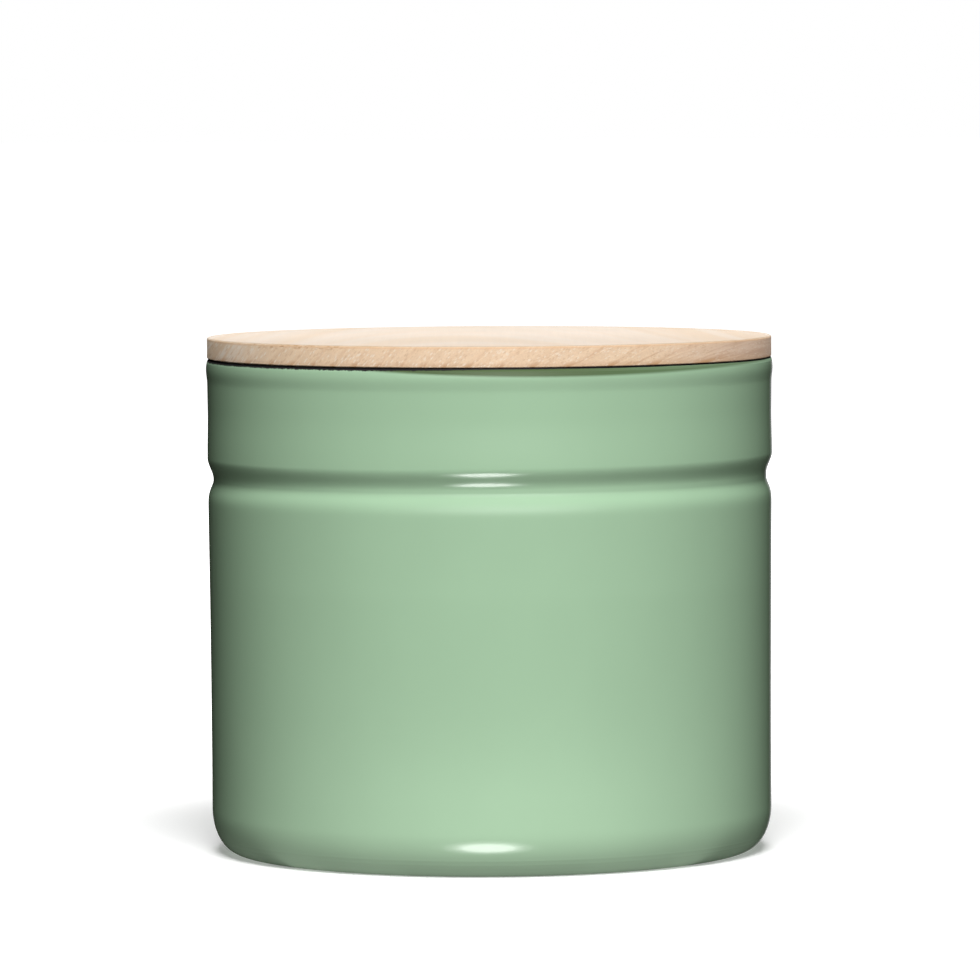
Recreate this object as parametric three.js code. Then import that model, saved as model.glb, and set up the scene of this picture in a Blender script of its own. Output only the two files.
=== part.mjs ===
// A round enamelled steel coffee tin with a turned ash lid.
//
// The tin is one deep-drawn steel cup, enamelled inside and out, with a pressed foot, one rolled-in
// stiffening bead and a rounded lip. The lid is one turned disc of ash: a flange that rests on the lip and
// a plug that goes down inside it. A silicone ring sits in a groove round the plug and seals the mouth.
//
// Millimetres, +Z up, origin at the centre of the foot on the surface that the tin stands on.

import * as THREE from "three";

// Driving dimensions
const LID_RADIUS = 65; // the wooden flange, and the nominal size of the tin
const TOTAL_HEIGHT = 118.6; // foot to the top of the lid
const RIM_HEIGHT = 113.7; // foot to the top of the steel lip
const WALL = 1; // steel with enamel on both faces
const GAP = 0.3; // between pieces that touch or press on each other
const SEGMENTS = 64; // facets round every turned shape

// Foot and bottom corner, which is a quarter of an ellipse
const FOOT_RADIUS = 64.6; // outside of the wall, just above the corner
const CORNER_WIDTH = 6.1;
const CORNER_HEIGHT = 10;
const FOOT_RING_INNER = 53; // the tin stands on a flat ring from here out to the corner
const PANEL_RADIUS = 50; // the raised middle of the base
const PANEL_RISE = 1;

// Stiffening bead, rolled inwards
const BEAD_HEIGHT = 86.5; // its deepest line
const BEAD_DEPTH = 1.27;
const BEAD_ABOVE = 4.6; // it fades out over this much above its deepest line
const BEAD_BELOW = 6.5;
const SHOULDER_RADIUS = 65.09; // the wall here if it had no bead

// Neck and lip, which is half of an ellipse over a straight inner face
const NECK_RADIUS = 64.95;
const NECK_HEIGHT = 101.5;
const RIM_RADIUS = 65.28; // widest line of the lip
const LIP_HEIGHT = 2.5;
const MOUTH_RADIUS = NECK_RADIUS - WALL;

// Lid, measured from the underside of its flange
const FLANGE_UNDERSIDE = RIM_HEIGHT + GAP;
const FLANGE_THICKNESS = TOTAL_HEIGHT - FLANGE_UNDERSIDE;
const TOP_EDGE = 0.5; // rounding of the flange's upper edge
const LOWER_EDGE = 0.5; // rounding of the flange's lower edge
const PLUG_RADIUS = 61.9;
const PLUG_DEPTH = 9.6;
const PLUG_EDGE = 0.8;
const GROOVE_TOP = -3.6;
const GROOVE_WIDTH = 3.2;
const GROOVE_DEPTH = 2;

// Silicone ring
const FIN_RADIUS = MOUTH_RADIUS - GAP; // both fins, as pressed in by the mouth
const BAND_RADIUS = 62.2;
const FIN_THICKNESS = 0.6;
const FIN_RISE = 0.35; // a fin's tip is swept up, as it is when the lid is pushed in

const point = (radius, height) => new THREE.Vector2(radius, height);

// Points on part of an ellipse, from one angle to another, in degrees from the outward direction.
function arc(centre, width, height, from, to, steps) {
  return Array.from({ length: steps + 1 }, (_, i) => {
    const angle = THREE.MathUtils.degToRad(from + ((to - from) * i) / steps);
    return point(centre.x + width * Math.cos(angle), centre.y + height * Math.sin(angle));
  });
}

function evenly(from, to, steps) {
  return Array.from({ length: steps + 1 }, (_, i) => from + ((to - from) * i) / steps);
}

// Outside radius of the wall, from the bottom corner to the lip.
function wallRadius(height) {
  const belowBead = (height - CORNER_HEIGHT) / (BEAD_HEIGHT - CORNER_HEIGHT);
  const aboveBead = (height - BEAD_HEIGHT) / (NECK_HEIGHT - BEAD_HEIGHT);
  const flare = (height - NECK_HEIGHT) / (RIM_HEIGHT - LIP_HEIGHT - NECK_HEIGHT);
  if (flare > 0) return NECK_RADIUS + (RIM_RADIUS - NECK_RADIUS) * flare ** 2;
  const plain =
    aboveBead > 0
      ? THREE.MathUtils.lerp(SHOULDER_RADIUS, NECK_RADIUS, aboveBead)
      : THREE.MathUtils.lerp(FOOT_RADIUS, SHOULDER_RADIUS, belowBead ** 2);
  const reach = (height - BEAD_HEIGHT) / (aboveBead > 0 ? BEAD_ABOVE : BEAD_BELOW);
  const angle = (THREE.MathUtils.clamp(reach, -1, 1) * Math.PI) / 2;
  return plain - BEAD_DEPTH * Math.cos(angle) ** 2;
}

// One face of the wall, from the bottom corner up to the neck, with points close together in the bead.
function wall(inset) {
  const heights = [
    ...evenly(CORNER_HEIGHT, BEAD_HEIGHT - BEAD_BELOW, 3),
    ...evenly(BEAD_HEIGHT - BEAD_BELOW, BEAD_HEIGHT, 6).slice(1),
    ...evenly(BEAD_HEIGHT, BEAD_HEIGHT + BEAD_ABOVE, 5).slice(1),
    NECK_HEIGHT,
  ];
  return heights.map((height) => point(wallRadius(height) - inset, height));
}

// The outside of the wall over the neck, widening to the lip.
function flare() {
  const heights = evenly(NECK_HEIGHT, RIM_HEIGHT - LIP_HEIGHT, 4).slice(1, -1);
  return heights.map((height) => point(wallRadius(height), height));
}

// One face of the base, from the axis to the top of the bottom corner.
function base(inset) {
  const centre = point(FOOT_RADIUS - CORNER_WIDTH, CORNER_HEIGHT);
  return [
    point(0, PANEL_RISE + inset),
    point(PANEL_RADIUS, PANEL_RISE + inset),
    point(FOOT_RING_INNER, inset),
    ...arc(centre, CORNER_WIDTH - inset, CORNER_HEIGHT - inset, -90, 0, 6).slice(0, -1),
  ];
}

function canisterProfile() {
  const lipWidth = (RIM_RADIUS - MOUTH_RADIUS) / 2;
  const lip = arc(point(MOUTH_RADIUS + lipWidth, RIM_HEIGHT - LIP_HEIGHT), lipWidth, LIP_HEIGHT, 0, 180, 8);
  const inside = [...base(WALL), ...wall(WALL)].reverse();
  return [...base(0), ...wall(0), ...flare(), ...lip, ...inside];
}

// A rounded edge of the lid: a quarter circle about the given radius and height.
const rounding = (radius, height, r, from, to) => arc(point(radius, height), r, r, from, to, 3);

function lidProfile() {
  const grooveBottom = GROOVE_TOP - GROOVE_WIDTH;
  return [
    point(0, -PLUG_DEPTH),
    ...rounding(PLUG_RADIUS - PLUG_EDGE, PLUG_EDGE - PLUG_DEPTH, PLUG_EDGE, -90, 0),
    point(PLUG_RADIUS, grooveBottom),
    point(PLUG_RADIUS - GROOVE_DEPTH, grooveBottom),
    point(PLUG_RADIUS - GROOVE_DEPTH, GROOVE_TOP),
    point(PLUG_RADIUS, GROOVE_TOP),
    point(PLUG_RADIUS, 0),
    ...rounding(LID_RADIUS - LOWER_EDGE, LOWER_EDGE, LOWER_EDGE, -90, 0),
    ...rounding(LID_RADIUS - TOP_EDGE, FLANGE_THICKNESS - TOP_EDGE, TOP_EDGE, 0, 90),
    point(0, FLANGE_THICKNESS),
  ];
}

// A band that fills the groove, with two thin fins standing out of it.
function sealProfile() {
  const inner = PLUG_RADIUS - GROOVE_DEPTH + GAP;
  const bottom = GROOVE_TOP - GROOVE_WIDTH + GAP;
  const top = GROOVE_TOP - GAP;
  const fin = (root) => [
    point(BAND_RADIUS, root),
    point(FIN_RADIUS, root + FIN_RISE),
    point(FIN_RADIUS, root + FIN_RISE + FIN_THICKNESS / 2),
    point(BAND_RADIUS, root + FIN_THICKNESS),
  ];
  const fins = [bottom + FIN_THICKNESS / 2, top - FIN_THICKNESS - FIN_RISE].flatMap(fin);
  return [
    point(inner, bottom),
    point(BAND_RADIUS, bottom),
    ...fins,
    point(BAND_RADIUS, top),
    point(inner, top),
    point(inner, bottom),
  ];
}

// A named mesh turned about the Z axis from a profile of radius and height.
function turned(name, profile, look) {
  const geometry = new THREE.LatheGeometry(profile, SEGMENTS).rotateX(Math.PI / 2);
  const mesh = new THREE.Mesh(geometry, new THREE.MeshStandardMaterial(look));
  mesh.name = name;
  return mesh;
}

const tin = new THREE.Group();
tin.add(turned("canister", canisterProfile(), { color: 0x8fc093, roughness: 0.25, metalness: 0 }));

const lidAssembly = new THREE.Group();
lidAssembly.position.z = FLANGE_UNDERSIDE;
lidAssembly.add(turned("lid", lidProfile(), { color: 0xe6cbae, roughness: 0.6, metalness: 0 }));
lidAssembly.add(turned("lid_seal", sealProfile(), { color: 0xe9e9e4, roughness: 0.4, metalness: 0 }));
tin.add(lidAssembly);

export default tin;
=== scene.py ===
"""The looks of the coffee tin: an enamelled steel canister, its turned ash lid and the lid's silicone ring.

Outlines and patterns are in millimetres, as in the CAD model, and meshes are made in metres.
"""

import math

import bpy
import numpy as np
from mathutils import Matrix, Vector


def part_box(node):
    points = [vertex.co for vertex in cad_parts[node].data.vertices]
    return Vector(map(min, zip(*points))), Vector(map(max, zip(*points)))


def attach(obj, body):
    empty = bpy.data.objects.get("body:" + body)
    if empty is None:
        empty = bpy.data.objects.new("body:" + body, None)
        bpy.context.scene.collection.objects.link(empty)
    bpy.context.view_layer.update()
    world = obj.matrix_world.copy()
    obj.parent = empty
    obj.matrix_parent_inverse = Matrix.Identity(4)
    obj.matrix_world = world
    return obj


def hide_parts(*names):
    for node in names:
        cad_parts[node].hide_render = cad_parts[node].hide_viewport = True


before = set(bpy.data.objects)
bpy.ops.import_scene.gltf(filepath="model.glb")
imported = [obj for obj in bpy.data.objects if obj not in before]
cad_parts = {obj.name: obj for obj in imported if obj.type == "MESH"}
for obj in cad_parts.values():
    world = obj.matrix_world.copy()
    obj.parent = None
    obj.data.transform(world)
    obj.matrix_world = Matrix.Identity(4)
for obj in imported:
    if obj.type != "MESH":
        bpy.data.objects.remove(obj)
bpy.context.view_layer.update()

MM = 0.001

# Sizes that the frame gives, in millimetres
RIM_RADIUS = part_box("canister")[1].x / MM
RIM_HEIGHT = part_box("canister")[1].z / MM
LID_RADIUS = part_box("lid")[1].x / MM
LID_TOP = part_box("lid")[1].z / MM
PLUG_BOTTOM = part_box("lid")[0].z / MM
SEAL_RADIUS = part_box("lid_seal")[1].x / MM
SEAL_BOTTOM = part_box("lid_seal")[0].z / MM
SEAL_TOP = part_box("lid_seal")[1].z / MM

# The rest of the canister
WALL = 1.0
FOOT_RADIUS = 64.6  # outside of the wall, just above the bottom corner
CORNER_WIDTH = 6.1
CORNER_HEIGHT = 10.0
FOOT_RING_INNER = 53.0
PANEL_RADIUS = 50.0
PANEL_RISE = 1.0
DRAW_MARKS = (2.9, 3.9)  # heights of two faint lines that the press leaves in the corner
DRAW_MARK_DEPTH = 0.022
DRAW_MARK_WIDTH = 0.17
BEAD_FOOT = 78.8  # the bead's lower flank runs from here to its floor
BEAD_FLOOR = (85.9, 86.5)
BEAD_CREST = 91.3  # the top of its upper flank
BEAD_BOW = 2.1  # how much nearer to its floor than to its foot the lower flank is steepest
BEAD_DEPTH = 1.27
BEAD_SKEW = 0.37  # how far its upper flank is rolled up on the right and down on the left
WALL_RIPPLE = 0.012
SHOULDER_RADIUS = 65.09
NECK_RADIUS = 64.95
NECK_HEIGHT = 101.5
FLARE = (108.0, 111.2)
FLARE_RADIUS = 65.02  # where the flare starts
LIP_HEIGHT = 2.5
MOUTH_RADIUS = NECK_RADIUS - WALL

# The rest of the lid and its ring
GAP = 0.3
SEATED = 0.02  # between the lip and the lowest point of the flange, which touch on a real tin
LID_LEAN = 0.10  # the lid sits this much higher at its left edge, and lower at its right
FLANGE_UNDERSIDE = RIM_HEIGHT + SEATED + LID_LEAN
TOP_EDGE = 0.4
LOWER_EDGE = 0.22
PLUG_RADIUS = 61.9
PLUG_EDGE = 0.8
GROOVE_DEPTH = 2.0
BAND_RADIUS = 62.2
FIN_THICKNESS = 0.6
FIN_RISE = 0.35

# How finely the shapes are drawn
TURNS = 288  # facets round a turned shape
CORNER_STEPS = 110  # close together, for the draw marks
LIP_STEPS = 32
CROWN = (11, 22)  # the bare crown of the lip runs from the first of these points up to the second
SHARP_EDGE = math.radians(35)


# ---------------------------------------------------------------- outlines


def arc(centre, width, height, start, end, steps):
    """Points on part of an ellipse, from one angle to another, in degrees from the outward direction."""
    angles = np.radians(np.linspace(start, end, steps + 1))
    return [(centre[0] + width * math.cos(a), centre[1] + height * math.sin(a)) for a in angles]


def smooth(value, low, high):
    """0 at low and 1 at high, with an S-shaped curve between them."""
    t = min(max((value - low) / (high - low), 0.0), 1.0)
    return t * t * (3 - 2 * t)


def blend(a, b, t):
    return a + (b - a) * t


def bead(height):
    """How far the wall is rolled in at a height, from 0 to 1."""
    below = max(0.0, (height - BEAD_FOOT) / (BEAD_FLOOR[0] - BEAD_FOOT))
    above = max(0.0, (BEAD_CREST - height) / (BEAD_CREST - BEAD_FLOOR[1]))
    if below < 1:
        return math.sin(math.pi / 2 * below**BEAD_BOW) ** 2
    return math.sin(math.pi / 2 * min(above, 1.0)) ** 2


def wall_radius(height):
    """Outside radius of the wall, from the bottom corner to the lip."""
    if height > FLARE[0]:
        return blend(FLARE_RADIUS, RIM_RADIUS, smooth(height, *FLARE))
    if height > NECK_HEIGHT:
        return blend(NECK_RADIUS, FLARE_RADIUS, (height - NECK_HEIGHT) / (FLARE[0] - NECK_HEIGHT))
    if height > BEAD_CREST:
        return blend(SHOULDER_RADIUS, NECK_RADIUS, smooth(height, BEAD_CREST, NECK_HEIGHT))
    rise = (height - CORNER_HEIGHT) / (BEAD_CREST - CORNER_HEIGHT)
    return blend(FOOT_RADIUS, SHOULDER_RADIUS, rise**2) - BEAD_DEPTH * bead(height)


def base(inset, steps):
    """One face of the base, from the axis to the top of the bottom corner."""
    panel = [(0.0, PANEL_RISE + inset)]
    for radius in np.linspace(PANEL_RADIUS, FOOT_RING_INNER, 13):
        fall = smooth(radius, PANEL_RADIUS, FOOT_RING_INNER)
        panel.append((radius, PANEL_RISE * (1 - fall) + inset))
    centre = (FOOT_RADIUS - CORNER_WIDTH, CORNER_HEIGHT)
    return panel + arc(centre, CORNER_WIDTH - inset, CORNER_HEIGHT - inset, -90, 0, steps)


def marked(points):
    """The bottom corner with the press's faint lines raised on it."""
    result = []
    for radius, height in points:
        marks = sum(math.exp(-(((height - mark) / DRAW_MARK_WIDTH) ** 2)) for mark in DRAW_MARKS)
        on_corner = radius > FOOT_RADIUS - CORNER_WIDTH / 2
        result.append((radius + DRAW_MARK_DEPTH * marks * on_corner, height))
    return result


def wall(inset, heights):
    return [(wall_radius(height) - inset, height) for height in heights]


def canister_outline():
    """Spans of (material, points), from the middle of the underside round to the middle of the inside."""
    lip_base = RIM_HEIGHT - LIP_HEIGHT
    lip_width = (RIM_RADIUS - MOUTH_RADIUS) / 2
    plain = np.linspace(CORNER_HEIGHT, BEAD_FOOT - 1, 25)
    rolled = np.linspace(BEAD_FOOT - 1, BEAD_CREST + 1, 81)
    neck = np.linspace(BEAD_CREST + 1, NECK_HEIGHT, 13)
    flare = np.linspace(NECK_HEIGHT, lip_base, 25)
    outside = np.concatenate([plain[1:], rolled[1:], neck[1:], flare[1:]])
    inside = np.concatenate([plain, rolled[1::2], neck[1:]])
    lip = arc((MOUTH_RADIUS + lip_width, lip_base), lip_width, LIP_HEIGHT, 0, 180, LIP_STEPS)
    crown_starts, crown_ends = CROWN
    return [
        ("outside", marked(base(0, CORNER_STEPS)) + wall(0, outside) + lip[1:crown_starts]),
        ("crown", lip[crown_starts:crown_ends]),
        ("inside", lip[crown_ends:] + wall(WALL, inside)[::-1] + base(WALL, 24)[:-1][::-1]),
    ]


def lid_outline():
    groove_bottom = SEAL_BOTTOM - GAP
    groove_top = SEAL_TOP + GAP
    groove_radius = PLUG_RADIUS - GROOVE_DEPTH
    plug_corner = (PLUG_RADIUS - PLUG_EDGE, PLUG_BOTTOM + PLUG_EDGE)
    lower_corner = (LID_RADIUS - LOWER_EDGE, FLANGE_UNDERSIDE + LOWER_EDGE)
    upper_corner = (LID_RADIUS - TOP_EDGE, LID_TOP - TOP_EDGE)
    points = [(0.0, PLUG_BOTTOM)]
    points += arc(plug_corner, PLUG_EDGE, PLUG_EDGE, -90, 0, 8)
    points += [(PLUG_RADIUS, groove_bottom), (groove_radius, groove_bottom)]
    points += [(groove_radius, groove_top), (PLUG_RADIUS, groove_top), (PLUG_RADIUS, FLANGE_UNDERSIDE)]
    points += arc(lower_corner, LOWER_EDGE, LOWER_EDGE, -90, 0, 12)
    points += arc(upper_corner, TOP_EDGE, TOP_EDGE, 0, 90, 10)
    points.append((0.0, LID_TOP))
    return [("wood", points)]


def seal_outline():
    """A band that fills the lid's groove, with two thin fins that taper to round tips."""
    inner = PLUG_RADIUS - GROOVE_DEPTH + GAP
    tip = FIN_THICKNESS / 4
    points = [(inner, SEAL_BOTTOM), (BAND_RADIUS, SEAL_BOTTOM)]
    for root in (SEAL_BOTTOM + FIN_THICKNESS / 2, SEAL_TOP - FIN_THICKNESS - FIN_RISE):
        points.append((BAND_RADIUS, root))
        points += arc((SEAL_RADIUS - tip, root + FIN_RISE + tip), tip, tip, -90, 90, 8)
        points.append((BAND_RADIUS, root + FIN_THICKNESS))
    points += [(BAND_RADIUS, SEAL_TOP), (inner, SEAL_TOP), (inner, SEAL_BOTTOM)]
    return [("silicone", points)]


# ---------------------------------------------------------------- meshes


def turned(name, spans, materials):
    """A closed solid turned about Z from spans that meet, and that start and end on the axis or close on
    themselves."""
    outline = [point for _, points in spans for point in points]
    owner = [index for index, (_, points) in enumerate(spans) for _ in points]
    closed_loop = outline[0] == outline[-1]
    if closed_loop:
        outline = outline[:-1]
    rings = []
    vertices = []
    for radius, height in outline:
        count = 1 if radius == 0 else TURNS
        rings.append([len(vertices) + turn for turn in range(count)])
        for turn in range(count):
            angle = 2 * math.pi * turn / TURNS
            vertices.append((radius * math.cos(angle) * MM, radius * math.sin(angle) * MM, height * MM))
    faces = []
    slots = []
    for index in range(len(rings) - (0 if closed_loop else 1)):
        low, high = rings[index], rings[(index + 1) % len(rings)]
        for turn in range(TURNS):
            following = (turn + 1) % TURNS
            corners = [low[turn % len(low)], low[following % len(low)]]
            corners += [high[following % len(high)], high[turn % len(high)]]
            faces.append(list(dict.fromkeys(corners)))
            slots.append(owner[index])
    mesh = bpy.data.meshes.new(name)
    mesh.from_pydata(vertices, [], faces)
    mesh.polygons.foreach_set("material_index", slots)
    mesh.shade_smooth()
    mesh.set_sharp_from_angle(angle=SHARP_EDGE)
    for material, _ in spans:
        mesh.materials.append(materials[material])
    piece = bpy.data.objects.new(name, mesh)
    bpy.context.scene.collection.objects.link(piece)
    return piece


def move_vertices(piece, moved):
    """Moves every vertex to moved(x, y, z), all in millimetres."""
    for vertex in piece.data.vertices:
        vertex.co = Vector(moved(*(vertex.co / MM))) * MM
    piece.data.update()


def hand_rolled(x, y, z):
    """The bead's upper flank isn't quite level, and the wall isn't quite round."""
    radius = math.hypot(x, y)
    if radius < FOOT_RING_INNER:
        return x, y, z
    in_bead = smooth(z, BEAD_FLOOR[0], BEAD_FLOOR[1]) * (1 - smooth(z, BEAD_CREST, BEAD_CREST + 4))
    angle = math.atan2(y, x)
    on_wall = smooth(z, CORNER_HEIGHT, 2 * CORNER_HEIGHT) * (1 - smooth(z, BEAD_CREST, FLARE[1]))
    ripple = math.sin(3 * angle + z / 17) * math.sin(z / 11 + 1) + 0.6 * math.sin(7 * angle - z / 9)
    scale = 1 + WALL_RIPPLE * ripple * on_wall / radius
    return x * scale, y * scale, z + BEAD_SKEW * in_bead * x / radius


def leaning(x, y, z):
    return x, y, z - LID_LEAN * x / LID_RADIUS


# ---------------------------------------------------------------- materials


class Field:
    """A number at every point of a surface. Arithmetic on it adds Math nodes to its material."""

    def __init__(self, tree, socket):
        self.tree = tree
        self.socket = socket

    def math(self, operation, *others):
        node = self.tree.nodes.new("ShaderNodeMath")
        node.operation = operation
        for target, value in zip(node.inputs, (self, *others)):
            connect(self.tree, value, target)
        return Field(self.tree, node.outputs[0])

    def __add__(self, other):
        return self.math("ADD", other)

    def __sub__(self, other):
        return self.math("SUBTRACT", other)

    def __mul__(self, other):
        return self.math("MULTIPLY", other)

    def __truediv__(self, other):
        return self.math("DIVIDE", other)

    def __pow__(self, other):
        return self.math("POWER", other)

    def inverted(self):
        return self * -1 + 1

    def step(self, low, high):
        """0 below low and 1 above high, with an S-shaped curve between them."""
        node = self.tree.nodes.new("ShaderNodeMapRange")
        node.interpolation_type = "SMOOTHSTEP"
        connect(self.tree, self, node.inputs["Value"])
        connect(self.tree, low, node.inputs["From Min"])
        connect(self.tree, high, node.inputs["From Max"])
        return Field(self.tree, node.outputs["Result"])

    def between(self, low, high, softness):
        return self.step(low - softness, low) * self.step(high, high + softness).inverted()


def connect(tree, value, target):
    if isinstance(value, Field):
        value = value.socket
    if isinstance(value, bpy.types.NodeSocket):
        tree.links.new(value, target)
    else:
        target.default_value = value


class Surface:
    """A material with a Principled shader, and the fields that its pattern is made from."""

    def __init__(self, name, **settings):
        self.material = bpy.data.materials.new(name)
        self.material.use_nodes = True
        self.tree = self.material.node_tree
        self.shader = self.tree.nodes["Principled BSDF"]
        for label, value in settings.items():
            self.shader.inputs[label.replace("_", " ")].default_value = value
        place = self.tree.nodes.new("ShaderNodeTexCoord")
        scaled = self.add("ShaderNodeVectorMath", operation="SCALE")
        self.tree.links.new(place.outputs["Object"], scaled.inputs[0])
        scaled.inputs["Scale"].default_value = 1 / MM
        self.x, self.y, self.z = self.split(scaled.outputs[0])
        _, self.facing_y, self.facing_z = self.split(place.outputs["Normal"])

    def add(self, kind, **settings):
        node = self.tree.nodes.new(kind)
        for label, value in settings.items():
            setattr(node, label, value)
        return node

    def split(self, vector):
        node = self.add("ShaderNodeSeparateXYZ")
        self.tree.links.new(vector, node.inputs[0])
        return [Field(self.tree, output) for output in node.outputs]

    def point(self, x, y, z):
        node = self.add("ShaderNodeCombineXYZ")
        for target, value in zip(node.inputs, (x, y, z)):
            connect(self.tree, value, target)
        return node.outputs[0]

    def place(self, across, along=None, up=None):
        """Where a point is, counted in grains of that many millimetres in X, Y and Z."""
        return self.point(self.x / across, self.y / (along or across), self.z / (up or across))

    def noise(self, where, detail=2.0, roughness=0.5):
        """Soft noise about 0, mostly between -1 and 1."""
        node = self.add("ShaderNodeTexNoise")
        connect(self.tree, where, node.inputs["Vector"])
        node.inputs["Scale"].default_value = 1.0
        node.inputs["Detail"].default_value = detail
        node.inputs["Roughness"].default_value = roughness
        return (Field(self.tree, node.outputs["Fac"]) - 0.5) * 4

    def cells(self, where):
        """Distance to the middle of the nearest cell, and a random number for that cell."""
        node = self.add("ShaderNodeTexVoronoi")
        connect(self.tree, where, node.inputs["Vector"])
        node.inputs["Scale"].default_value = 1.0
        chance = self.split(node.outputs["Color"])[0]
        return Field(self.tree, node.outputs["Distance"]), chance

    def mix(self, factor, first, second, blend_type="MIX"):
        """From the first colour to the second as the factor goes from 0 to 1."""
        node = self.add("ShaderNodeMix", data_type="RGBA", blend_type=blend_type)
        colours = [(*colour, 1.0) if isinstance(colour, tuple) else colour for colour in (first, second)]
        targets = [target for target in node.inputs if target.enabled]
        for target, value in zip(targets, (factor, *colours)):
            connect(self.tree, value, target)
        return next(output for output in node.outputs if output.enabled)

    def tint(self, colour, brightness):
        """The colour times a field."""
        return self.mix(1.0, colour, self.point(brightness, brightness, brightness), blend_type="MULTIPLY")

    def finish(self, colour, roughness, relief):
        """relief is the height of the surface, in millimetres."""
        bump = self.add("ShaderNodeBump")
        bump.inputs["Distance"].default_value = MM
        connect(self.tree, relief, bump.inputs["Height"])
        connect(self.tree, bump.outputs["Normal"], self.shader.inputs["Normal"])
        connect(self.tree, colour, self.shader.inputs["Base Color"])
        connect(self.tree, roughness, self.shader.inputs["Roughness"])
        return self.material


GREEN = (0.39, 0.59, 0.39)
OLIVE = (0.055, 0.098, 0.020)
BLACK = (0.006, 0.005, 0.006)
WHITE = (0.80, 0.79, 0.75)
STEEL_GREY = (0.12, 0.14, 0.12)
GREEN_EDGE = (0.30, 0.62)  # how far the black comes down from the top of the lip, on the right and the left
WHITE_EDGE = (1.2, 1.6)
EDGE_SOFTNESS = 0.06
CRESCENT_MIDDLE = 17.0  # X of the middle of the dark olive crescent below the lip, partly a thinner green coat and partly painted shade under the lid's edge
CRESCENT_REACH = 53.0  # and how far it runs to either side
CRESCENT_DEPTH = 2.05
CRESCENT_OLIVE = 0.95  # how strongly the crescent is painted dark olive: partly the ground coat showing through the green, partly painted shade under the lid's edge
FOOT_WEAR = (0.02, 0.25)  # heights over which the scuffs on the foot fade
CROWN_MATT = (0.4, 1.2)  # depths over which the matt of the crown fades
ENAMEL_ROUGHNESS = 0.09


def black_edge(surface, depth, narrow, wide):
    """Where the lip is black: down to a wide, ragged edge on the left and a narrow, smoother one on the
    right."""
    drift = surface.noise(surface.place(14.0)) * 0.06
    ragged = surface.noise(surface.place(0.55), detail=4.0, roughness=0.75)
    left = surface.x.step(-30.0, 4.0).inverted()
    width = left * (wide - narrow) + narrow + drift + ragged * (left * 0.24 + 0.03)
    return (depth - width).step(-EDGE_SOFTNESS, EDGE_SOFTNESS).inverted()


def thin_and_shaded_crescent(surface, depth):
    """Where the crescent below the lip is dark olive, partly from the green coat running thinner over the
    ground coat and partly as painted shade under the lid's edge: on the front of the tin only, and a little
    less so on the right.
    """
    across = (surface.x - CRESCENT_MIDDLE) / CRESCENT_REACH
    crescent = (across * across).inverted() * CRESCENT_DEPTH
    in_front = surface.facing_y.step(-0.3, 0.0).inverted()
    thin = (depth - crescent).step(-0.45, 0.35).inverted() * in_front
    return thin * (surface.x.step(10.0, 50.0) * -0.25 + 1)


def enamel(name, ground, edge_widths, bare=0.0):
    """Glass enamel over a ground colour, black over the lip with a ragged lower edge. bare is how strongly
    the crescent below the lip is painted dark olive: partly the ground coat showing through a thinner green
    coat, partly painted shade under the lid's edge."""
    surface = Surface(name, Specular_IOR_Level=0.5)
    depth = surface.z * -1 + RIM_HEIGHT
    black = black_edge(surface, depth, *edge_widths)
    thin = thin_and_shaded_crescent(surface, depth)
    clouds = surface.noise(surface.place(22.0, 22.0, 35.0), detail=3.0)
    scuffs = surface.noise(surface.place(1.4), detail=5.0, roughness=0.7).step(0.1, 0.5)
    on_foot = surface.z.step(*FOOT_WEAR).inverted()
    on_crown = depth.step(*CROWN_MATT).inverted()
    colour = surface.tint(ground, clouds * 0.02 + 1)
    colour = surface.mix(on_foot * scuffs * 0.6, colour, STEEL_GREY)
    # the dark olive crescent below the lip: partly ground coat through a thinner green coat, partly painted
    # shade under the lid's edge
    colour = surface.mix(thin * bare, colour, OLIVE)
    colour = surface.mix(black, colour, BLACK)
    peel = surface.noise(surface.place(1.7), detail=3.0) * 0.0008
    waves = surface.noise(surface.place(9.0), detail=1.0) * 0.004
    roughness = on_foot * 0.3 + on_crown * 0.8 + clouds * 0.01 + ENAMEL_ROUGHNESS
    return surface.finish(colour, roughness, peel + waves + black * 0.03)


def black_enamel():
    """The bare black ground coat on the crown of the lip."""
    surface = Surface("black_enamel", Specular_IOR_Level=0.12)
    specks = surface.noise(surface.place(0.5), detail=4.0, roughness=0.7)
    colour = surface.tint(BLACK, specks * 0.3 + 1)
    return surface.finish(colour, specks * 0.08 + 0.45, specks * 0.004)


RING_SPACING = 4.1
PITH = (79.0, LID_TOP - 100.0)  # X and Z of the middle of the tree that the lid's board was cut from
PITH_SLANT = (0.10, 0.06)  # how far it strays towards -X and -Z for each millimetre along the grain
PITH_BOW = 0.0012  # and how far towards -X for each square millimetre
ARCH_SPACING = 24.0  # along the grain, between the pointed rings in the middle of the lid's top
ARCH_MIDDLE = -6.0  # X of their points
ARCH_WIDTH = 11.0  # the larger, the blunter the arches
ARCH_START = 18.0  # moves them all along the grain
PORE = (0.36, 5.0, 0.80)  # across the rings, along the grain, and round the pith in hundredths of a radian
FIBRE = (0.28, 16.0)  # across and along the grain
STREAK = (1.3, 70.0)
SPECK = 0.33
ARRIS = (0.25, 0.55)  # depths below the top between which the upper edge is a deeper colour
LOW_EDGE = (4.7, 4.9)  # and where the lower edge is browner: partly its darker grain, partly painted shade where the lid sits on the rim
CHIPPED = (-50.0, -36.0)  # X of a bruised stretch of the upper edge
WOOD_ROUGHNESS = 0.56
CREAM = (0.625, 0.52, 0.42)
HONEY = (0.595, 0.44, 0.29)
PEACH = (0.89, 0.69, 0.49)
ROSE = (0.78, 0.56, 0.45)
TAN = (0.66, 0.44, 0.26)
EARLY_WOOD = (0.60, 0.34, 0.16)
CHALK = (0.95, 0.85, 0.74)
BARE_EDGE = (0.84, 0.56, 0.33)


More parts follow.
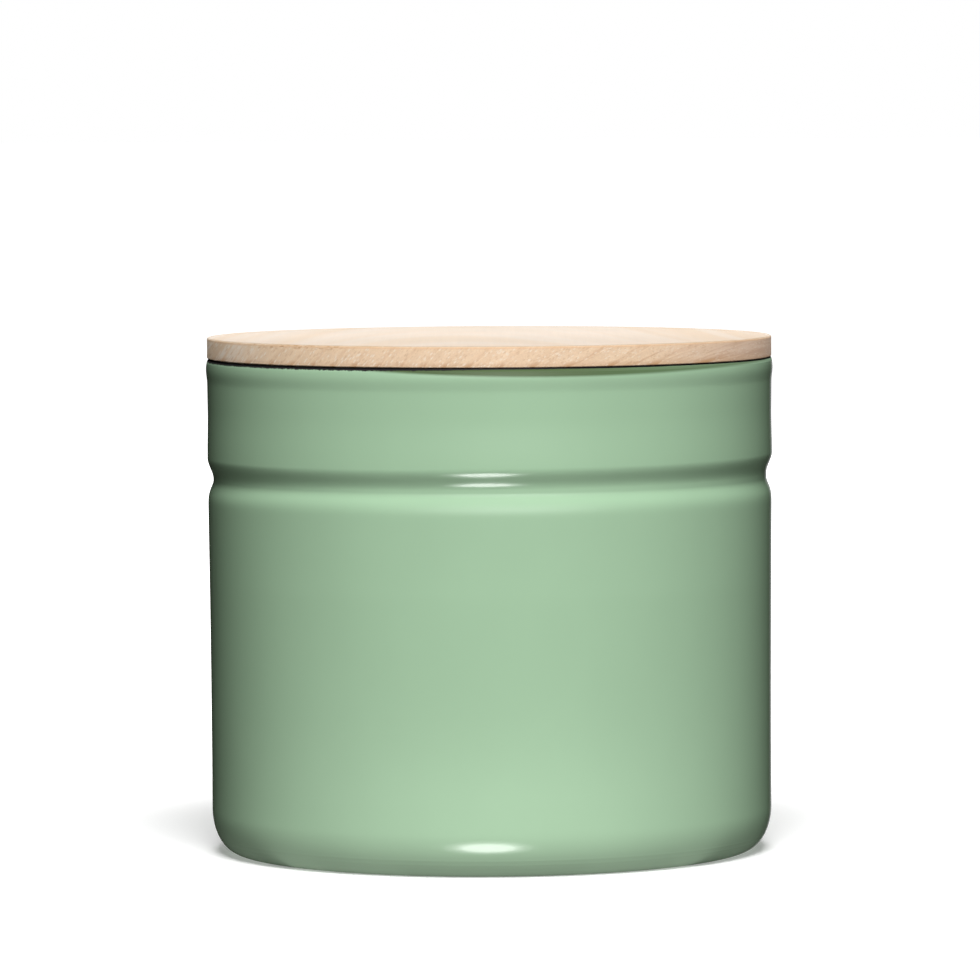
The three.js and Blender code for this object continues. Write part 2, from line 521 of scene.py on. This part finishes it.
class Ash:
    """The fields that ash with its grain along Y is coloured by: growth rings about a line beside and below
    the lid, pointed arches where they run out on its top, and open pores on its side."""

    def __init__(self, surface):
        self.surface = surface
        self.on_top = surface.facing_z.step(0.3, 0.8)
        self.on_side = self.on_top.inverted()
        self.end_grain = (surface.facing_y * surface.facing_y).step(0.1, 0.7)
        self.right = surface.x.step(5.0, 55.0)
        # painted shade: the front of the lid's top is coloured darker and yellower, where less light reaches
        # it
        self.painted_front_shade = surface.y.step(-45.0, 20.0).inverted() * self.on_top
        self.below_top = surface.z * -1 + LID_TOP
        self.find_rings()
        self.find_pores()
        self.find_edges()

    def find_rings(self):
        surface = self.surface
        along = surface.y
        sway = surface.noise(surface.place(45.0, 110.0, 45.0), detail=1.0)
        wander = surface.noise(surface.place(9.0, 60.0, 9.0), detail=2.0)
        from_pith_x = surface.x - PITH[0] + along * PITH_SLANT[0] + along * along * PITH_BOW
        from_pith_z = surface.z - PITH[1] + along * PITH_SLANT[1]
        self.distance = (from_pith_x * from_pith_x + from_pith_z * from_pith_z) ** 0.5
        self.bearing = from_pith_x.math("ARCTAN2", from_pith_z) * 100
        from_arch = surface.x - ARCH_MIDDLE
        arches = from_arch * from_arch / ARCH_WIDTH + along - ARCH_START + sway * 12 + wander * 1.5
        self.arches = arches / ARCH_SPACING
        rings = (self.distance + sway * 2.2 + wander * 0.35) / RING_SPACING
        season = ((self.arches - rings) * self.on_top + rings).math("FRACT")
        self.late = season.step(0.25, 0.95) * season.step(0.95, 1.0).inverted()
        self.early = season.step(0.10, 0.40).inverted() * season.step(0.0, 0.06)
        where = surface.point(self.arches * 0.45, surface.x / 70, surface.z / 70)
        self.bands = surface.noise(where, detail=1.0)
        where = surface.point(self.distance / 0.8, along / 40, self.bearing / 9)
        self.strands = surface.noise(where, detail=2.0)

    def find_pores(self):
        across, along, round_pith = PORE
        surface = self.surface
        where = surface.point(self.distance / across, surface.y / along, self.bearing / round_pith)
        from_middle, chance = surface.cells(where)
        self.pore = from_middle.step(0.25, 0.55).inverted() * self.on_side
        self.chalky = self.pore * chance.step(0.50, 0.85)
        self.open_pore = self.pore * chance.step(0.15, 0.45).inverted()

    def find_edges(self):
        surface = self.surface
        self.arris = self.below_top.between(*ARRIS, 0.2) * self.on_side
        self.low_edge_grain_and_shade = self.below_top.between(*LOW_EDGE, 1.5) * self.on_side
        chips = surface.noise(surface.place(1.6, 1.6, 0.35), detail=3.0).step(0.1, 0.5)
        near_top = self.below_top.step(0.3, 1.6).inverted()
        self.chips = chips * near_top * surface.x.between(*CHIPPED, 6.0) * self.on_side
        self.left_end = surface.x.step(-61.0, -48.0).inverted() * self.on_side


def ash_wood():
    surface = Surface("ash_wood", Specular_IOR_Level=0.35, Diffuse_Roughness=0.45, Sheen_Weight=0.06)
    ash = Ash(surface)
    long_side = (ash.on_top + ash.end_grain).math("MINIMUM", 1.0).inverted()
    fibre = surface.noise(surface.place(FIBRE[0], FIBRE[1], FIBRE[0]), detail=3.0, roughness=0.6)
    streaks = surface.noise(surface.place(STREAK[0], STREAK[1], STREAK[0]), detail=2.0)
    clouds = surface.noise(surface.place(16.0, 50.0, 9.0), detail=2.0)
    specks = surface.noise(surface.place(SPECK), detail=2.0, roughness=0.7) * ash.end_grain

    # the painted shade on the front of the top also turns it towards HONEY
    honey = ash.bands.step(-0.6, 0.6) * 0.65 + ash.right * 0.25 + ash.painted_front_shade * 0.2
    early = ash.early * (ash.right * long_side * 0.5 + ash.end_grain * 0.16 + 0.05)
    dark_strands = ash.strands.step(0.0, 0.8) * (ash.right * 0.5 + 0.12) * ash.on_side
    pale_strands = ash.strands.step(-0.6, 0.4).inverted() * ash.left_end * 0.6
    # shade: the grain's own random tone, with painted shade darkening the front of the top
    shade = fibre * 0.04 + streaks * 0.02 + clouds * 0.025 + specks * 0.06 - ash.painted_front_shade * 0.15 + 1

    # the top is coloured darker than the side: partly the face grain's own tone, partly painted shade that
    # holds back the stronger light on the top
    colour = surface.mix(honey, CREAM, HONEY)
    colour = surface.mix(ash.on_side, colour, PEACH)
    colour = surface.mix(ash.late * (ash.on_top * -0.02 + 0.20), colour, TAN)
    colour = surface.mix(early, colour, EARLY_WOOD)
    colour = surface.mix(dark_strands, colour, EARLY_WOOD)
    colour = surface.mix(pale_strands, colour, CHALK)
    colour = surface.tint(colour, shade)
    colour = surface.mix(surface.x.step(30.0, 62.0) * ash.on_side * 0.5, colour, ROSE)
    # browner lower edge of the lid's side: partly darker grain, partly painted shade where the lid sits on
    # the rim
    colour = surface.mix(ash.low_edge_grain_and_shade * (ash.early * 0.5 + ash.right * 0.15 + 0.25), colour, EARLY_WOOD)
    colour = surface.mix(ash.chalky * (ash.right * -0.35 + 0.65), colour, CHALK)
    colour = surface.mix(ash.open_pore * 0.45, colour, TAN)
    colour = surface.mix(ash.arris * 0.55, colour, BARE_EDGE)
    colour = surface.mix(ash.chips * 0.85, colour, EARLY_WOOD)
    relief = fibre * 0.003 + ash.late * 0.004 - ash.pore * 0.008 + specks * 0.004
    roughness = fibre * 0.04 - ash.end_grain * 0.02 + WOOD_ROUGHNESS
    return surface.finish(colour, roughness, relief)


MILKY = (0.80, 0.80, 0.76)


def silicone():
    surface = Surface(
        "silicone", Specular_IOR_Level=0.4, Subsurface_Weight=0.35, Subsurface_Scale=0.002, IOR=1.41
    )
    haze = surface.noise(surface.place(3.0), detail=3.0)
    dust = surface.noise(surface.place(0.12), detail=1.0).step(0.9, 1.1)
    colour = surface.tint(MILKY, haze * 0.03 + 1)
    return surface.finish(colour, haze * 0.05 + dust * 0.2 + 0.38, haze * 0.004 + dust * 0.01)


# ---------------------------------------------------------------- the tin


def make_tin():
    enamels = {
        "outside": enamel("green_enamel", GREEN, GREEN_EDGE, bare=CRESCENT_OLIVE),
        "crown": black_enamel(),
        "inside": enamel("white_enamel", WHITE, WHITE_EDGE),
    }
    canister = turned("enamelled_canister", canister_outline(), enamels)
    move_vertices(canister, hand_rolled)
    lid = turned("ash_lid", lid_outline(), {"wood": ash_wood()})
    move_vertices(lid, leaning)
    seal = turned("silicone_ring", seal_outline(), {"silicone": silicone()})
    for piece, node in ((canister, "canister"), (lid, "lid"), (seal, "lid_seal")):
        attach(piece, node)
        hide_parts(node)


# ---------------------------------------------------------------- the set

# Camera, in metres and degrees
CAMERA_DISTANCE = 1.6
CAMERA_HEIGHT = 0.17648
CAMERA_PITCH = 3.345  # down
CAMERA_ROLL = -0.357
LENS = 255.1
FARTHEST = 100.0

# Table
TABLE_REACH = 20.0
TABLE_COLOUR = (0.86, 0.86, 0.86)
TABLE_ROUGHNESS = 0.9
TABLE_FADE = (60.0, 320.0)  # millimetres from the axis over which it turns an even white
TABLE_GLOW = (0.2, 1.0)  # at the start and the end of that

# Lights, in metres and watts
LIGHT_TARGET = (0.0, 0.0, 0.06)
FRONT_SOFTBOX = {"place": (0.07, -1.20, 1.85), "size": (0.88, 0.8), "power": 52.0}
REAR_SOFTBOX = {"place": (0.0, 1.7, 1.1), "size": (0.9, 0.8), "power": 12.0}
LOW_CARD = (-0.012, -0.41, -0.180)
LOW_CARD_SIZE = (0.155, 0.10)
LOW_CARD_LAYERS = ((1.0, 0.45), (1.3, 0.32), (1.7, 0.2))  # size and power: its reflection fades outwards
BOUNCE_TINT = (1.0, 0.90, 0.97)
BOUNCE_PATCHES = (
    {"place": (0.02, -0.14, 0.0), "size": (0.26, 0.20), "power": 0.050},
    {"place": (0.02, -0.1025, 0.0), "size": (0.26, 0.055), "power": 0.021},
)
FOOT_GLOW_RADIUS = 0.066
FOOT_GLOW_TURNS = range(-90, 91, 20)  # degrees from the front
FOOT_GLOW_SIZE = (0.024, 0.016)
FOOT_GLOW_POWER = 0.00046
FOOT_GLOW_LESS = 0.00026  # in front, where the patches light the foot too

# World: brightness, and sines of the directions between which it changes
ROOM = (0.012, 0.013, 0.009)
GLOW = 2.6
GLOW_TO_RIGHT = 0.12
GLOW_FALLOFF = 5
GLOW_LOW = (-0.10, 0.25)  # elevations between which the glow comes up
GLOW_HIGH = (0.45, 0.80)  # and between which it fades
BACKDROP = 0.35
BACKDROP_REACH = (0.955, 0.99)
BACKDROP_LEFT_EDGE = (-0.02, 0.03)

PURE_WHITE = (1.0, 1.0, 1.0)


def make_camera():
    camera = bpy.data.objects.new("camera", bpy.data.cameras.new("camera"))
    camera.data.lens = LENS
    camera.data.clip_end = FARTHEST
    turn = Matrix.Rotation(math.radians(90 - CAMERA_PITCH), 4, "X")
    roll = Matrix.Rotation(math.radians(CAMERA_ROLL), 4, "Z")
    camera.matrix_world = Matrix.Translation((0.0, -CAMERA_DISTANCE, CAMERA_HEIGHT)) @ turn @ roll
    bpy.context.scene.collection.objects.link(camera)
    bpy.context.scene.camera = camera


def make_floor():
    """A white table that fades to an even white in the distance."""
    mesh = bpy.data.meshes.new("floor")
    signs = ((-1, -1), (1, -1), (1, 1), (-1, 1))
    mesh.from_pydata([(x * TABLE_REACH, y * TABLE_REACH, 0.0) for x, y in signs], [], [(0, 1, 2, 3)])
    floor = bpy.data.objects.new("floor", mesh)
    bpy.context.scene.collection.objects.link(floor)
    surface = Surface("white_table", Specular_IOR_Level=0.1)
    distance = (surface.x * surface.x + surface.y * surface.y) ** 0.5
    grain = surface.noise(surface.place(0.8), detail=2.0)
    colour = surface.tint(TABLE_COLOUR, grain * 0.01 + 1)
    near_glow, far_glow = TABLE_GLOW
    glow = distance.step(*TABLE_FADE) * (far_glow - near_glow) + near_glow
    surface.shader.inputs["Emission Color"].default_value = (*PURE_WHITE, 1.0)
    connect(surface.tree, glow, surface.shader.inputs["Emission Strength"])
    mesh.materials.append(surface.finish(colour, TABLE_ROUGHNESS, grain * 0.01))
    floor.visible_glossy = False
    floor.visible_diffuse = False
    floor.visible_shadow = False


def make_light(name, place, size, power, colour=PURE_WHITE):
    """A rectangle of light that faces the middle of the tin and that the camera doesn't see."""
    light = bpy.data.objects.new(name, bpy.data.lights.new(name, "AREA"))
    light.data.shape = "RECTANGLE"
    light.data.size, light.data.size_y = size
    light.data.energy = power
    light.data.color = colour
    light.location = place
    light.rotation_euler = (Vector(LIGHT_TARGET) - Vector(place)).to_track_quat("-Z", "Y").to_euler()
    light.visible_camera = False
    bpy.context.scene.collection.objects.link(light)
    return light


def make_low_card():
    """A card in front of the tin and below it, which shows as the highlight on the bottom corner."""
    for spread, power in LOW_CARD_LAYERS:
        width, height = LOW_CARD_SIZE
        card = make_light("low_card", LOW_CARD, (width * spread, height * spread), power)
        card.data.shape = "ELLIPSE"
        card.visible_diffuse = False


def make_table_bounce():
    """The light that a white table in front of the tin, and round its foot, throws up onto it."""
    for patch in BOUNCE_PATCHES:
        make_bounce(0.0, **patch)
    for angle in np.radians(FOOT_GLOW_TURNS):
        place = (FOOT_GLOW_RADIUS * math.sin(angle), -FOOT_GLOW_RADIUS * math.cos(angle), 0.0)
        power = FOOT_GLOW_POWER - FOOT_GLOW_LESS * math.cos(angle) ** 2
        make_bounce(angle, place, FOOT_GLOW_SIZE, power)


def make_bounce(turn, place, size, power):
    """A patch of the table that shines straight up, turned about Z."""
    patch = make_light("table_bounce", place, size, power, BOUNCE_TINT)
    patch.rotation_euler = (math.pi, 0.0, turn)
    patch.visible_glossy = False


def make_world():
    """White to the camera. To the tin it is a dim room, with a wide soft glow in front and slightly to the
    right, and a pale backdrop behind on the right."""
    world = bpy.data.worlds.new("room")
    world.use_nodes = True
    tree = world.node_tree
    tree.nodes.clear()
    split = tree.nodes.new("ShaderNodeSeparateXYZ")
    tree.links.new(tree.nodes.new("ShaderNodeTexCoord").outputs["Generated"], split.inputs[0])
    right, back, up = [Field(tree, output) for output in split.outputs]
    front = (back * -1 + right * GLOW_TO_RIGHT).math("MAXIMUM", 0.0)
    glow = front**GLOW_FALLOFF * up.step(*GLOW_LOW) * up.step(*GLOW_HIGH).inverted() * GLOW
    backdrop = back.step(*BACKDROP_REACH) * right.step(*BACKDROP_LEFT_EDGE) * BACKDROP
    room = background(tree, ROOM, 1.0)
    panel = background(tree, PURE_WHITE, glow + backdrop)
    white = background(tree, PURE_WHITE, 1.0)
    lit = tree.nodes.new("ShaderNodeAddShader")
    tree.links.new(room, lit.inputs[0])
    tree.links.new(panel, lit.inputs[1])
    mix = tree.nodes.new("ShaderNodeMixShader")
    tree.links.new(tree.nodes.new("ShaderNodeLightPath").outputs["Is Camera Ray"], mix.inputs[0])
    tree.links.new(lit.outputs[0], mix.inputs[1])
    tree.links.new(white, mix.inputs[2])
    output = tree.nodes.new("ShaderNodeOutputWorld")
    tree.links.new(mix.outputs[0], output.inputs["Surface"])
    bpy.context.scene.world = world


def background(tree, colour, strength):
    node = tree.nodes.new("ShaderNodeBackground")
    node.inputs["Color"].default_value = (*colour, 1.0)
    connect(tree, strength, node.inputs["Strength"])
    return node.outputs[0]


def make_set():
    bpy.context.scene.view_settings.view_transform = "Standard"
    make_camera()
    make_floor()
    make_world()
    make_light("front_softbox", **FRONT_SOFTBOX)
    make_light("rear_softbox", **REAR_SOFTBOX)
    make_table_bounce()
    make_low_card()


make_set()
make_tin()
